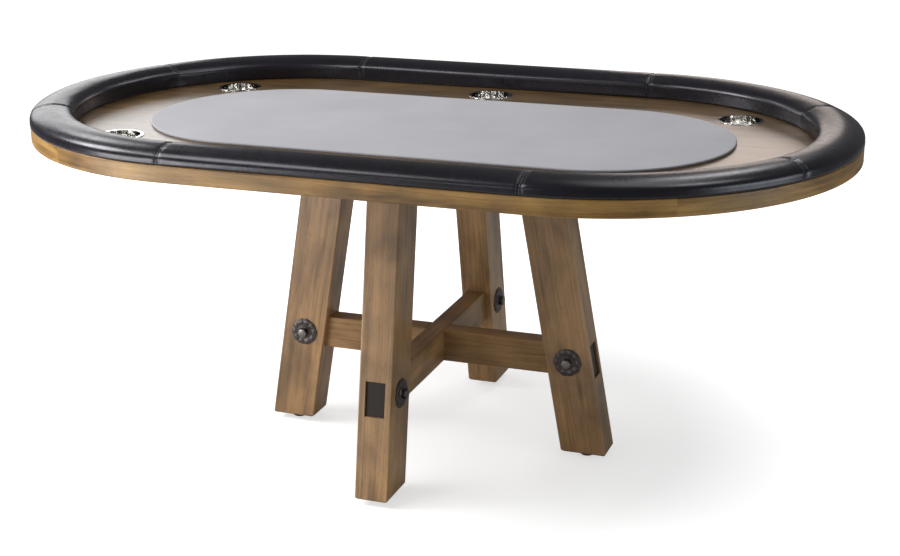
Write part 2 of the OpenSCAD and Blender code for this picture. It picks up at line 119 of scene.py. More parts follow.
class Shader:
    """A new material and short ways to add nodes to it.

    An input is a number, a colour or another node's output.
    """

    def __init__(self, name):
        self.material = bpy.data.materials.new(name)
        self.material.use_nodes = True
        self.tree = self.material.node_tree
        self.surface = self.tree.nodes["Principled BSDF"]

    def put(self, socket, value):
        if isinstance(value, bpy.types.NodeSocket):
            self.tree.links.new(value, socket)
        else:
            socket.default_value = value

    def add(self, kind, inputs=None, out=0, **settings):
        node = self.tree.nodes.new("ShaderNode" + kind)
        for key, value in settings.items():
            setattr(node, key, value)
        for key, value in (inputs or {}).items():
            self.put(node.inputs[key], value)
        return node.outputs[out]

    def set(self, **values):
        for key, value in values.items():
            self.put(self.surface.inputs[key.replace("_", " ")], value)

    def math(self, operation, a, b=0.0):
        return self.add("Math", {0: a, 1: b}, operation=operation)

    def weighted(self, a, a_share, b, b_share):
        """The sum of two values, each times its share."""
        return self.math("ADD", self.math("MULTIPLY", a, a_share), self.math("MULTIPLY", b, b_share))

    def place(self):
        return self.add("TexCoord", out="Object")

    def dot(self, vector, axis):
        return self.add("VectorMath", {0: vector, 1: axis}, out="Value", operation="DOT_PRODUCT")

    def join(self, x, y, z):
        return self.add("CombineXYZ", {0: x, 1: y, 2: z})

    def scaled(self, vector, scale):
        return self.add("VectorMath", {0: vector, 1: scale}, operation="MULTIPLY")

    def noise(self, vector, scale, detail=4.0, roughness=0.5, distortion=0.0):
        return self.add("TexNoise", {"Vector": vector, "Scale": scale, "Detail": detail,
                                     "Roughness": roughness, "Distortion": distortion})

    def ramp(self, factor, stops):
        node = self.tree.nodes.new("ShaderNodeValToRGB")
        self.tree.links.new(factor, node.inputs["Fac"])
        while len(node.color_ramp.elements) < len(stops):
            node.color_ramp.elements.new(0.5)
        for element, (position, colour) in zip(node.color_ramp.elements, stops):
            element.position = position
            element.color = (*colour, 1)
        return node.outputs["Color"]

    def levels(self, factor, low, high, to_low=0.0, to_high=1.0):
        """Maps low to high onto to_low to to_high, and holds the ends."""
        return self.add("MapRange", {"Value": factor, "From Min": low, "From Max": high,
                                     "To Min": to_low, "To Max": to_high})

    def vary(self, noise, low, high):
        """A value that goes from low to high with a noise."""
        return self.levels(noise, *NOISE_RANGE, low, high)

    def mix(self, factor, a, b, blend="MIX"):
        node = self.tree.nodes.new("ShaderNodeMix")
        node.data_type = "RGBA"
        node.blend_type = blend
        self.put(node.inputs[MIX_FACTOR], factor)
        for socket, colour in ((MIX_A, a), (MIX_B, b)):
            self.put(node.inputs[socket], (*colour, 1) if isinstance(colour, tuple) else colour)
        return node.outputs[MIX_RESULT]

    def shaded(self, colour, level):
        """A colour made darker or lighter by a level."""
        return self.mix(1.0, colour, self.join(level, level, level), "MULTIPLY")

    def bump(self, height, strength, distance, normal=None):
        inputs = {"Height": height, "Strength": strength, "Distance": distance}
        if normal is not None:
            inputs["Normal"] = normal
        return self.add("Bump", inputs)


def srgb(r, g, b):
    """A colour given as 8-bit sRGB, as linear numbers."""
    def linear(c):
        c /= 255
        return c / 12.92 if c <= 0.04045 else ((c + 0.055) / 1.055) ** 2.4
    return (linear(r), linear(g), linear(b))


# ---------- wood ----------

WOOD_LAYERS = {
    # layer: (how it is stretched along the grain, across it and the third way, its noise)
    "figure": ((1.3, 9.0, 9.0), {"scale": 2.2, "detail": 5, "roughness": 0.55, "distortion": 1.2}),
    "rings": ((0.8, 26.0, 26.0), {"scale": 2.0, "detail": 3, "roughness": 0.5, "distortion": 2.0}),
    "fibres": ((9.0, 420.0, 420.0), {"scale": 1.0, "detail": 3, "roughness": 0.6}),
    "pores": ((55.0, 900.0, 900.0), {"scale": 1.0, "detail": 2, "roughness": 0.5}),
    "blotch": ((5.0, 8.0, 8.0), {"scale": 1.4, "detail": 2, "roughness": 0.5, "distortion": 0.4}),
}
SEED_STEP = 3.7             # how far apart two seeds lie along the grain, in metres
FIGURE_SHARE, RING_SHARE = 0.55, 0.45
MIDDLE_TONE = 0.45          # where the middle colour lies between the dark and the light one
TONE_MIDDLE, TONE_SPREAD = 0.5, 0.16        # the figure's values that go from dark to light
MOTTLE_DARK, MOTTLE_LIGHT = 0.34, 0.18
FIBRE_RANGE, FIBRE_SHADE = (0.35, 0.7), (0.84, 1.08)
PORE_RANGE, PORE_FULL = (0.60, 0.72), 0.55
PORE_SHADE = 0.45           # a pore's colour, as a share of the dark one
ROUGHNESS_DOWN, ROUGHNESS_UP = 0.06, 0.08   # how far the fibres change the roughness
# a tenon's stained end grain, made darker still as painted shade of its recess in the leg
TENON_STAIN_AND_SHADE = srgb(34, 22, 13)
STAIN_AND_SHADE_FADE = 2 * MM
WOOD_IOR = 1.5
STRETCHER_IOR = 1.33        # the stretchers and their dark ends, stained end grain with painted shade, are duller


def along(axis, across, third):
    """Grain coordinates of a straight piece: (along the grain, across it, the third way)."""
    def coordinates(shader):
        place = shader.place()
        return [shader.dot(place, tuple(v)) for v in (axis, across, third)]
    return coordinates


def round_the_oval(shader):
    """Grain coordinates that run with the apron: arc length, height, distance from the centre line."""
    place = shader.place()
    x, y, z = (shader.dot(place, axis) for axis in (X_AXIS, Y_AXIS, Z_AXIS))
    x_size, y_size = shader.math("ABSOLUTE", x), shader.math("ABSOLUTE", y)
    reach = shader.math("MAXIMUM", shader.math("SUBTRACT", x_size, HALF_L), 0.0)
    square = shader.math("ADD", shader.math("MULTIPLY", reach, reach), shader.math("MULTIPLY", y, y))
    radius = shader.math("SQRT", square)
    turn = shader.math("MULTIPLY", shader.math("ARCTAN2", reach, y_size), END_R)
    straight = shader.math("MINIMUM", x_size, HALF_L)
    length = shader.math("MULTIPLY", shader.math("ADD", turn, straight), shader.math("SIGN", x))
    return [length, z, radius]


def wood(name, coordinates, tones, seed, roughness=0.42, coat=0.15, contrast=1.0, mottle=1.0, stained_and_shaded_axis=None):
    """Stained hardwood: broad figure, fibres, fine pores and small darker flecks along the grain.

    tones are its light, middle and dark colours. contrast sharpens the figure and mottle deepens its
    patches. The last argument, when given, is the axis of a stretcher, whose far ends get a tenon's dark
    end grain with painted shade of its recess added.
    """
    light, mid, dark = tones
    shader = Shader(name)
    u, v, w = coordinates(shader)
    base = shader.join(shader.math("ADD", u, seed * SEED_STEP), v, w)
    figure, rings, fibres, pores, blotch = (
        shader.noise(shader.scaled(base, scale), **noise) for scale, noise in WOOD_LAYERS.values())
    spread = TONE_SPREAD / contrast
    tone = shader.weighted(figure, FIGURE_SHARE, rings, RING_SHARE)
    tone = shader.levels(tone, TONE_MIDDLE - spread, TONE_MIDDLE + spread)
    colour = shader.ramp(tone, [(0.0, dark), (MIDDLE_TONE, mid), (1.0, light)])
    patches = shader.vary(blotch, 1 - MOTTLE_DARK * mottle, 1 + MOTTLE_LIGHT * mottle)
    colour = shader.shaded(colour, patches)
    colour = shader.shaded(colour, shader.levels(fibres, *FIBRE_RANGE, *FIBRE_SHADE))
    pits = shader.levels(pores, *PORE_RANGE, 0.0, PORE_FULL)
    colour = shader.mix(pits, colour, tuple(c * PORE_SHADE for c in dark))
    if stained_and_shaded_axis is not None:
        # the tenon's end: stained end grain, darkened further as painted shade of the recess
        distance = shader.math("ABSOLUTE", shader.dot(shader.place(), stained_and_shaded_axis))
        stain_and_shade = shader.levels(distance, STAIN_AND_SHADE_REACH, STAIN_AND_SHADE_REACH + STAIN_AND_SHADE_FADE)
        colour = shader.mix(stain_and_shade, colour, TENON_STAIN_AND_SHADE)
    shader.set(Base_Color=colour, IOR=WOOD_IOR if stained_and_shaded_axis is None else STRETCHER_IOR)
    shader.set(Coat_Weight=coat, Coat_Roughness=0.25)
    shader.set(Roughness=shader.vary(fibres, roughness - ROUGHNESS_DOWN, roughness + ROUGHNESS_UP))
    relief = shader.math("SUBTRACT", shader.math("MULTIPLY", fibres, 0.5), pits)
    shader.set(Normal=shader.bump(relief, strength=0.35, distance=0.25 * MM))
    return shader.material


# ---------- other materials ----------

def vinyl():
    """Black upholstery vinyl with a fine pebbled grain."""
    shader = Shader("rail_vinyl")
    place = shader.place()
    pebble = shader.add("TexVoronoi", {"Vector": place, "Scale": 620.0, "Randomness": 1.0},
                        out="Distance", feature="SMOOTH_F1")
    fine = shader.noise(place, scale=1500.0, detail=3, roughness=0.6)
    crease = shader.noise(place, scale=45.0, detail=4, roughness=0.55, distortion=0.8)
    wear = shader.noise(place, scale=9.0, detail=3, roughness=0.5)
    grain = shader.weighted(pebble, 0.8, fine, 0.3)
    worn = shader.levels(wear, low=0.35, high=0.7)
    shader.set(Base_Color=shader.mix(worn, srgb(15, 13, 18), srgb(22, 19, 26)))
    shader.set(Roughness=shader.vary(crease, 0.26, 0.32))
    shader.set(IOR=1.5, Specular_IOR_Level=0.5, Specular_Tint=(0.95, 0.93, 1.0, 1))
    soft = shader.bump(crease, strength=0.10, distance=0.5 * MM)
    shader.set(Normal=shader.bump(grain, strength=0.18, distance=0.06 * MM, normal=soft))
    return shader.material


def thread():
    """Pale grey sewing thread with its twist."""
    shader = Shader("stitching_thread")
    twist = shader.add("TexWave", {"Vector": shader.place(), "Scale": 900.0, "Distortion": 3.0},
                       out="Fac", bands_direction="DIAGONAL")
    shader.set(Base_Color=shader.mix(twist, srgb(62, 60, 62), srgb(108, 105, 105)), Roughness=0.8)
    shader.set(Normal=shader.bump(twist, strength=0.4, distance=0.1 * MM))
    return shader.material


def playing_cloth():
    """Light grey speed cloth: a fine weave with a short nap."""
    shader = Shader("playing_cloth")
    place = shader.place()
    warp, weft = (
        shader.add("TexWave", {"Vector": place, "Scale": 420.0, "Distortion": 0.6, "Detail": 1.0},
                   out="Fac", bands_direction=way) for way in "XY")
    weave = shader.math("MAXIMUM", warp, weft)
    nap = shader.noise(place, scale=900.0, detail=3, roughness=0.7)
    cloud = shader.noise(place, scale=6.0, detail=4, roughness=0.55)
    tone = shader.vary(shader.weighted(nap, 0.5, cloud, 0.5), 0.0, 1.0)
    shader.set(Base_Color=shader.mix(tone, srgb(152, 151, 156), srgb(168, 167, 172)))
    shader.set(Roughness=0.9, Sheen_Weight=0.12, Sheen_Roughness=0.5, Specular_IOR_Level=0.25)
    height = shader.weighted(weave, 0.5, nap, 0.7)
    shader.set(Normal=shader.bump(height, strength=0.35, distance=0.15 * MM))
    return shader.material


def metal(name, colour, roughness, speckle, relief, metallic, scale):
    """A metal whose colour and gloss vary a little, with a fine surface relief."""
    shader = Shader(name)
    place = shader.place()
    coarse = shader.noise(place, scale, detail=4, roughness=0.6)
    fine = shader.noise(place, scale * 6, detail=3, roughness=0.6)
    low = tuple(c * (1 - speckle) for c in colour)
    high = tuple(min(1.0, c * (1 + speckle)) for c in colour)
    shader.set(Base_Color=shader.mix(coarse, low, high), Metallic=metallic)
    shader.set(Roughness=shader.vary(fine, roughness * 0.8, roughness * 1.25))
    shader.set(Normal=shader.bump(coarse, strength=0.5, distance=relief))
    return shader.material


def plastic(name, colour, roughness):
    """Moulded plastic with a fine spark-eroded texture."""
    shader = Shader(name)
    texture = shader.noise(shader.place(), scale=1400.0, detail=3, roughness=0.6)
    shader.set(Base_Color=shader.mix(texture, colour, tuple(c * 1.3 for c in colour)))
    shader.set(Roughness=shader.vary(texture, roughness - 0.08, roughness + 0.08))
    shader.set(Normal=shader.bump(texture, strength=0.3, distance=0.1 * MM))
    return shader.material


def foam():
    """Open-cell foam."""
    shader = Shader("foam")
    cells = shader.add("TexVoronoi", {"Vector": shader.place(), "Scale": 700.0}, out="Distance")
    shader.set(Base_Color=shader.mix(cells, srgb(205, 190, 140), srgb(235, 225, 190)), Roughness=0.95)
    shader.set(Normal=shader.bump(cells, strength=0.8, distance=0.6 * MM))
    return shader.material


# ---------- mesh helpers ----------

def mesh_object(name, points, faces, material):
    mesh = bpy.data.meshes.new(name)
    mesh.from_pydata([tuple(p) for p in points], [], faces)
    mesh.validate()
    mesh.update()
    mesh.polygons.foreach_set("use_smooth", [True] * len(mesh.polygons))
    obj = bpy.data.objects.new(name, mesh)
    bpy.context.scene.collection.objects.link(obj)
    obj.data.materials.append(material)
    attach(obj, "table")
    return obj


def ring_faces(rings, size, closed=True, start=0):
    """Quads between rings of the same number of points, stored one ring after another."""
    faces = []
    last = size if closed else size - 1
    for i in range(rings - 1):
        for j in range(last):
            a, b = start + i * size + j, start + i * size + (j + 1) % size
            faces.append((a, b, b + size, a + size))
    return faces


# ---------- padded rail ----------

SECTIONS = [
    # name, end of the table, first and last angle on it, foam that it covers. A straight section has
    # end 0 and its side instead of an angle.
    ("rail_cover_front", 0, -1, None, "rail_foam_front"),
    ("rail_cover_back", 0, 1, None, "rail_foam_back"),
    ("rail_cover_right_front", 1, -90, -30, "rail_foam_right"),
    ("rail_cover_right_end", 1, -30, 30, "rail_foam_right"),
    ("rail_cover_right_back", 1, 30, 90, "rail_foam_right"),
    ("rail_cover_left_front", -1, -90, -30, "rail_foam_left"),
    ("rail_cover_left_end", -1, -30, 30, "rail_foam_left"),
    ("rail_cover_left_back", -1, 30, 90, "rail_foam_left"),
]
SKIN_POINTS = 40            # round the padded part of the section
SKIN_STEP = 6 * MM          # along the section, away from the seams
SEAM_STATIONS = (0, 1.5, 3, 4.5, 6, 8, 10, 12.5, 15, 18, 22, 26)        # mm from a seam
PROFILE_STEPS = 400         # round the dome, before the points are spaced evenly
INNER_STEPS = 40            # down the inner side
TUCK_R = 3 * MM             # the roll that the vinyl makes under its outer edge
TUCK_ANGLES = range(-80, 1, 4)              # degrees round that roll
TUCK_RISE = 1.05 * TUCK_R                   # from the apron's top to the roll's middle
FOOT_RISE = 2 * MM          # the inner side ends this far above the racetrack,
FOOT_IN, FOOT_UP = 1.2 * MM, 0.4 * MM       # and the vinyl turns under it to here

SEAM_DIP = 2.4 * MM         # how far a seam pulls the vinyl in
SEAM_REACH = 6 * MM         # how far from the seam that pull is felt
SEWN_WIDTH = 2 * MM         # the vinyl is held fast this close to a seam
PULL_CENTRE = np.array([RAIL_MID_R, RAIL_MID_Z - 6 * MM])       # a seam pulls towards here
PULL_FADE = 6               # its pull fades over one part in this many, at the tucked edges
PUCKER_DEPTH = 0.45 * MM
PUCKER_REACH = 16 * MM      # how far from the seam the puckers run
PUCKER_START = 3 * MM       # how far from the seam they are at their full depth
PUCKER_WAVES = 4
PUCKER_COUNTS = (11, 34)    # fewest and most half waves round the section
FULL_TURN = 6.28

SIMULATION_FRAMES = 16
STRETCH_LIMIT = 1.0 * MM    # how far the simulation may move a point
SMOOTHING_PASSES = 6

COVER_GAP = 0.1 * MM        # between the rail and the apron's top
UNDER_IN, UNDER_OUT = 2 * MM, 4 * MM        # the underside starts this far inside each edge
STITCH_ROW = 6 * MM         # from the seam to each row of stitches
STITCH_PATH = 421           # points of the profile that a row follows
STITCH_FIRST, STITCH_LAST = 16, -30         # it leaves the tucked edges out
STITCH_POINTS, STITCH_GAP = 9, 3            # points of a stitch, and from one to the next
STITCH_R = 0.55 * MM
STITCH_SIDES = 6
STITCH_RISE, STITCH_SINK = 1.1, 0.5         # its middle rises and its ends sink, in radii
STITCH_THIN, STITCH_SWELL = 0.55, 0.45      # how thick its ends are, and its middle beyond that


def rail_profile(count):
    """The rail's skin as (distance from the centre line, height), evenly spaced, outside to inside."""
    dense = []
    for degrees in TUCK_ANGLES:
        t = math.radians(degrees)
        dense.append((RAIL_OUT_R - TUCK_R + TUCK_R * math.cos(t),
                      APRON_TOP + TUCK_RISE + TUCK_R * math.sin(t)))
    for k in range(PROFILE_STEPS + 1):
        t = math.pi * k / PROFILE_STEPS
        dense.append((RAIL_MID_R + RAIL_HALF_W * math.cos(t), RAIL_MID_Z + RAIL_HALF_H * math.sin(t)))
    high, low = dense[-1], (RAIL_IN_R, DECK_Z + FOOT_RISE)
    for k in range(1, INNER_STEPS + 1):
        dense.append((high[0] + (low[0] - high[0]) * k / INNER_STEPS,
                      high[1] + (low[1] - high[1]) * k / INNER_STEPS))
    dense.append((RAIL_IN_R + FOOT_IN, DECK_Z + FOOT_UP))
    dense = np.array(dense)
    steps = np.concatenate([[0], np.cumsum(np.linalg.norm(np.diff(dense, axis=0), axis=1))])
    even = np.linspace(0, steps[-1], count)
    return np.stack([np.interp(even, steps, dense[:, 0]), np.interp(even, steps, dense[:, 1])], axis=1)


def stations(length):
    """Distances along a section from one seam to the next, closer together at the seams."""
    near = [d * MM for d in SEAM_STATIONS]
    middle = length - 2 * near[-1]
    count = max(2, round(middle / SKIN_STEP))
    inner = [near[-1] + middle * k / count for k in range(1, count)]
    return np.array(near + inner + [length - d for d in reversed(near)])


def section_path(end, first, last):
    """Length of a section, and a function from distance along it to (base point, outward direction)."""
    if end == 0:
        side = first
        return 2 * HALF_L, lambda d: (np.array([(d - HALF_L) * -side, 0.0]), np.array([0.0, side]))
    length = math.radians(last - first) * RAIL_MID_R

    def at(d):
        angle = math.radians(first) + math.radians(last - first) * d / length
        return np.array([end * HALF_L, 0.0]), np.array([end * math.cos(angle), math.sin(angle)])
    return length, at


def seam_pull(distance, around, waves):
    """How far the vinyl lies inside its plain section: a seam's groove and the puckers beside it."""
    groove = SEAM_DIP * math.exp(-(distance / SEAM_REACH) ** 2)
    creases = sum(math.cos(k * math.pi * around + p) for k, p in waves)
    pucker = PUCKER_DEPTH * math.exp(-distance / PUCKER_REACH) * (1 + creases / len(waves))
    return groove + pucker * min(1, distance / PUCKER_START)


def section_grid(name, end, first, last):
    """The skin of one section before it is stretched, and which of its points are sewn or tucked."""
    chance = random.Random(name + str(SEED))
    seams = [[(chance.uniform(*PUCKER_COUNTS), chance.uniform(0, FULL_TURN)) for _ in range(PUCKER_WAVES)]
             for _ in range(2)]
    length, at = section_path(end, first, last)
    profile = rail_profile(SKIN_POINTS)
    distances = stations(length)
    grid = np.zeros((len(distances), SKIN_POINTS, 3))
    held = np.zeros(grid.shape[:2])
    for i, d in enumerate(distances):
        base, out = at(d)
        near = min(d, length - d)
        waves = seams[0] if d < length / 2 else seams[1]
        for j in range(SKIN_POINTS):
            around = j / (SKIN_POINTS - 1)
            pull = seam_pull(near, around, waves)
            pull *= min(1.0, PULL_FADE * around, PULL_FADE * (1 - around)) ** 0.5
            inward = PULL_CENTRE - profile[j]
            r, z = profile[j] + inward / np.linalg.norm(inward) * pull
            grid[i, j] = [base[0] + out[0] * r, base[1] + out[1] * r, z]
            held[i, j] = 1.0 if near < SEWN_WIDTH or j in (0, SKIN_POINTS - 1) else 0.0
    return grid, held, at, distances


def stretch(grid, held):
    """Cloth simulation of the skin over its foam.

    The foam presses from inside, and the skin is held at its seams and tucked edges.
    """
    rows, columns = grid.shape[:2]
    mesh = bpy.data.meshes.new("skin")
    mesh.from_pydata(grid.reshape(-1, 3).tolist(), [], ring_faces(rows, columns, closed=False))
    mesh.update()
    obj = bpy.data.objects.new("skin", mesh)
    bpy.context.scene.collection.objects.link(obj)
    pins = obj.vertex_groups.new(name="held")
    pins.add([int(i) for i in np.flatnonzero(held.ravel())], 1.0, "ADD")
    cloth = obj.modifiers.new("cloth", "CLOTH")
    settings = cloth.settings
    settings.quality = 6
    settings.mass = 0.4
    settings.tension_stiffness = 60
    settings.compression_stiffness = 60
    settings.shear_stiffness = 30
    settings.bending_stiffness = 12
    settings.shrink_min = 0.004
    settings.use_pressure = True
    settings.uniform_pressure_force = 3
    settings.vertex_group_mass = "held"
    settings.effector_weights.gravity = 0
    cloth.collision_settings.use_collision = False
    scene = bpy.context.scene
    for step in range(1, SIMULATION_FRAMES + 1):
        scene.frame_set(step)
    evaluated = obj.evaluated_get(bpy.context.evaluated_depsgraph_get())
    points = np.array([v.co for v in evaluated.data.vertices]).reshape(rows, columns, 3)
    bpy.data.objects.remove(obj)
    bpy.data.meshes.remove(mesh)
    scene.frame_set(1)
    return points


def settled(points, rest):
    """Keeps every point within a distance of where it started, and evens out the smallest wrinkles."""
    move = points - rest
    size = np.linalg.norm(move, axis=2, keepdims=True)
    move *= STRETCH_LIMIT / np.maximum(size, STRETCH_LIMIT)
    for _ in range(SMOOTHING_PASSES):
        move[1:-1] = (move[:-2] + 2 * move[1:-1] + move[2:]) / 4
        move[:, 1:-1] = (move[:, :-2] + 2 * move[:, 1:-1] + move[:, 2:]) / 4
    return rest + move


def twice_as_fine(grid):
    """Adds a point between each two along both directions, on a cubic curve through four of them."""
    def along_first(g):
        before = np.concatenate([2 * g[:1] - g[1:2], g[:-1]])
        after = np.concatenate([g[1:], 2 * g[-1:] - g[-2:-1]])
        after2 = np.concatenate([after[1:], 2 * after[-1:] - after[-2:-1]])
        middle = (-before + 9 * g + 9 * after - after2) / 16
        out = np.empty((2 * len(g) - 1,) + g.shape[1:])
        out[0::2] = g
        out[1::2] = middle[:-1]
        return out
    return along_first(along_first(grid).swapaxes(0, 1)).swapaxes(0, 1)


def closed_section(name, grid, at, distances, material):
    """The skin with its underside and both ends closed, so that the pad is one solid."""
    rows, columns = grid.shape[:2]
    fine = np.interp(np.arange(rows) / 2, np.arange(len(distances)), distances)
    seat = APRON_TOP + COVER_GAP
    under = [(RAIL_IN_R + UNDER_IN, DECK_Z), (STEP_R, DECK_Z), (STEP_R, seat), (END_R - UNDER_OUT, seat)]
    points = []
    for d, skin in zip(fine, grid):
        base, out = at(d)
        points += list(map(tuple, skin))
        points += [(base[0] + out[0] * r, base[1] + out[1] * r, z) for r, z in under]
    size = columns + len(under)
    faces = ring_faces(rows, size)
    faces.append(tuple(range(size)))
    faces.append(tuple(range(size * (rows - 1), size * rows))[::-1])
    obj = mesh_object(name, points, faces, material)
    obj.data.flip_normals()
    return obj


def stitch_points(tree, at, d):
    """Points of one row of thread on the skin, each with its normal, at a distance along the section."""
    base, out = at(d)
    found = []
    for r, z in rail_profile(STITCH_PATH)[STITCH_FIRST:STITCH_LAST]:
        start = Vector((base[0] + out[0] * r, base[1] + out[1] * r, z))
        spot, normal, _, _ = tree.find_nearest(start)
        found.append((spot, normal))
    return found


def stitches(name, tree, at, rows, material):
    """Rows of short raised threads; each stitch is a small bent tube that dips in at both ends."""
    last = STITCH_POINTS - 1
    points, faces = [], []
    for d in rows:
        line = stitch_points(tree, at, d)
        for first in range(0, len(line) - STITCH_POINTS, STITCH_POINTS + STITCH_GAP):
            piece = line[first:first + STITCH_POINTS]
            start = len(points)
            for k, (spot, normal) in enumerate(piece):
                rise = math.sin(math.pi * k / last) ** 0.5
                ahead = piece[min(k + 1, last)][0] - piece[max(k - 1, 0)][0]
                across = ahead.normalized().cross(normal).normalized()
                centre = spot + normal * (STITCH_R * (STITCH_RISE * rise - STITCH_SINK))
                width = STITCH_R * (STITCH_THIN + STITCH_SWELL * rise)
                for s in range(STITCH_SIDES):
                    a = 2 * math.pi * s / STITCH_SIDES
                    points.append(centre + across * width * math.cos(a) + normal * width * math.sin(a))
            faces += ring_faces(STITCH_POINTS, STITCH_SIDES, start=start)
            faces.append(tuple(start + s for s in range(STITCH_SIDES))[::-1])
            faces.append(tuple(start + last * STITCH_SIDES + s for s in range(STITCH_SIDES)))
    return mesh_object(name, points, faces, material)


def make_rail():
    skin, yarn = vinyl(), thread()
    for name, end, first, last, covered in SECTIONS:
        grid, held, at, distances = section_grid(name, end, first, last)
        grid = settled(stretch(grid, held), grid)
        pad = closed_section(name + "_pad", twice_as_fine(grid), at, distances, skin)
        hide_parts(name, covered)
        mesh = pad.data
        tree = BVHTree.FromPolygons([v.co for v in mesh.vertices], [p.vertices for p in mesh.polygons])
        stitches(name + "_stitching", tree, at, (STITCH_ROW, distances[-1] - STITCH_ROW), yarn)


# ---------- playing surface ----------

CLOTH_EDGE_R = 2.6 * MM     # how round its edge is
CLOTH_EDGE_STEPS = 6
CLOTH_RINGS = 26
CLOTH_ARC_STEPS = 48        # round each end
CLOTH_RUN_STEPS = 30        # along each side
CLOTH_RING_PULL = 1.3       # over 1, this puts the rings closer together near the edge
CLOTH_FOOT = ((1.2 * MM, 0.0), (0.3 * MM, 0.6 * MM))        # how far in and up its side turns under
CLOTH_WAVE = 0.05 * MM      # how uneven its top is


def make_playing_surface():
    """The cloth over its board and foam: a flat top with a soft rounded edge."""
    top, bottom = CLOTH_HIGH.z, CLOTH_LOW.z
    profile = [(CLOTH_R - inward, bottom + up) for inward, up in CLOTH_FOOT]
    profile.append((CLOTH_R, top - CLOTH_EDGE_R))
    for k in range(1, CLOTH_EDGE_STEPS + 1):
        a = math.radians(90 / CLOTH_EDGE_STEPS * k)
        profile.append((CLOTH_R - CLOTH_EDGE_R + CLOTH_EDGE_R * math.cos(a),
                        top - CLOTH_EDGE_R + CLOTH_EDGE_R * math.sin(a)))
    for k in range(1, CLOTH_RINGS):
        profile.append(((CLOTH_R - CLOTH_EDGE_R) * (1 - (k / CLOTH_RINGS) ** CLOTH_RING_PULL), top))
    outline = []            # (x on the centre line, outward direction)
    for end in (1, -1):
        for k in range(CLOTH_ARC_STEPS):
            a = math.radians(-90 + 180 * k / CLOTH_ARC_STEPS)
            outline.append((end * HALF_L, end * math.cos(a), end * math.sin(a)))
        for k in range(CLOTH_RUN_STEPS):
            outline.append((end * (HALF_L - 2 * HALF_L * k / CLOTH_RUN_STEPS), 0.0, end))
    chance = random.Random(SEED)
    points = []
    for r, z in profile:
        for x, out_x, out_y in outline:
            wave = chance.uniform(-CLOTH_WAVE, CLOTH_WAVE) if z == top else 0.0
            points.append((x + out_x * r, out_y * r, z + wave))
    size = len(outline)
    faces = ring_faces(len(profile), size)
    last = size * (len(profile) - 1)
    faces.append(tuple(last + j for j in range(size)))
    faces.append(tuple(range(size))[::-1])
    pad = mesh_object("playing_surface", points, faces, playing_cloth())
    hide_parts("playing_cloth", "playing_foam")


# ---------- cast washers, bolt heads and nuts ----------

WASHER_AROUND, WASHER_RINGS = 120, 26
WASHER_BORE = 0.21          # its radius, as a share of the washer's
SCALLOP = 0.045             # depth of the scallops in the edge, as a share of its radius
SCALLOP_FADE = 4            # the higher, the nearer to the edge they stay
HUB, HUB_FOOT = 0.40, 0.50  # the raised middle ends here, and its slope here
HUB_SLOPE = 4.5
PETAL_LOW, PETAL_RISE = 0.55, 0.35          # height between the petals, and of a petal above that
PETAL_FULLNESS = 0.7        # under 1, this makes the petals broader than the grooves between them
RIM_START, RIM_SLOPE = 0.9, 0.75            # the face falls away towards the edge

HEX_AROUND = 72
HEX_SIDE = math.radians(60)
# (height as a share of NUT_T, radius as a share of NUT_R)
HEX_SIDES = [(0.0, 1.0), (0.70, 1.0), (0.80, 0.985), (0.88, 0.96), (0.94, 0.93), (1.0, 0.88), (1.0, 0.80)]
HEAD_FACE = [(1.06, 0.6), (1.10, 0.3)]
NUT_FACE = [(1.0, 0.56), (0.9, 0.54), (0.9, 0.53), (1.25, 0.53), (1.32, 0.46)]

LEG_BOLTS = {
    # leg: (towards the leg, towards the bolt's head)
    "right": (Vector((1, 0, 0)), Vector((0, -1, 0))),
    "left": (Vector((-1, 0, 0)), Vector((0, -1, 0))),
    "front": (Vector((0, -1, 0)), Vector((1, 0, 0))),
    "back": (Vector((0, 1, 0)), Vector((1, 0, 0))),
}


def petal(angle):
    """1 along the middle of each of a washer's ten petals, 0 between them."""
    return abs(math.cos(5 * angle))


def washer_height(share, angle):
    """Height of a star washer's face, as a share of its thickness, at a share of its radius."""
    if share < HUB:
        return 1.0
    if share < HUB_FOOT:
        return 1.0 - HUB_SLOPE * (share - HUB)
    ridge = 0.5 * (1 - math.cos(2 * math.pi * (share - HUB_FOOT) / (1 - HUB_FOOT)))
    rise = PETAL_RISE * ridge * petal(angle) ** PETAL_FULLNESS
    return PETAL_LOW + rise - RIM_SLOPE * max(0.0, share - RIM_START)


def star_washer(name, origin, out, side, up, material):
    """A cast washer with ten petals and a scalloped edge, lying on a leg's face."""
    shares = [WASHER_BORE + (1 - WASHER_BORE) * i / WASHER_RINGS for i in range(WASHER_RINGS + 1)]
    rings = [(share, True) for share in shares] + [(1.0, False), (WASHER_BORE, False)]
    points = []
    for share, on_face in rings:
        for j in range(WASHER_AROUND):
            a = 2 * math.pi * j / WASHER_AROUND
            rim = WASHER_R * (1 - SCALLOP * (1 - petal(a)) * share ** SCALLOP_FADE)
            height = WASHER_T * washer_height(share, a) if on_face else 0.0
            points.append(origin + (side * math.cos(a) + up * math.sin(a)) * rim * share + out * height)
    faces = ring_faces(len(rings), WASHER_AROUND)
    last = (len(rings) - 1) * WASHER_AROUND
    for j in range(WASHER_AROUND):
        after = (j + 1) % WASHER_AROUND
        faces.append((last + j, last + after, after, j))
    return mesh_object(name, points, faces, material)


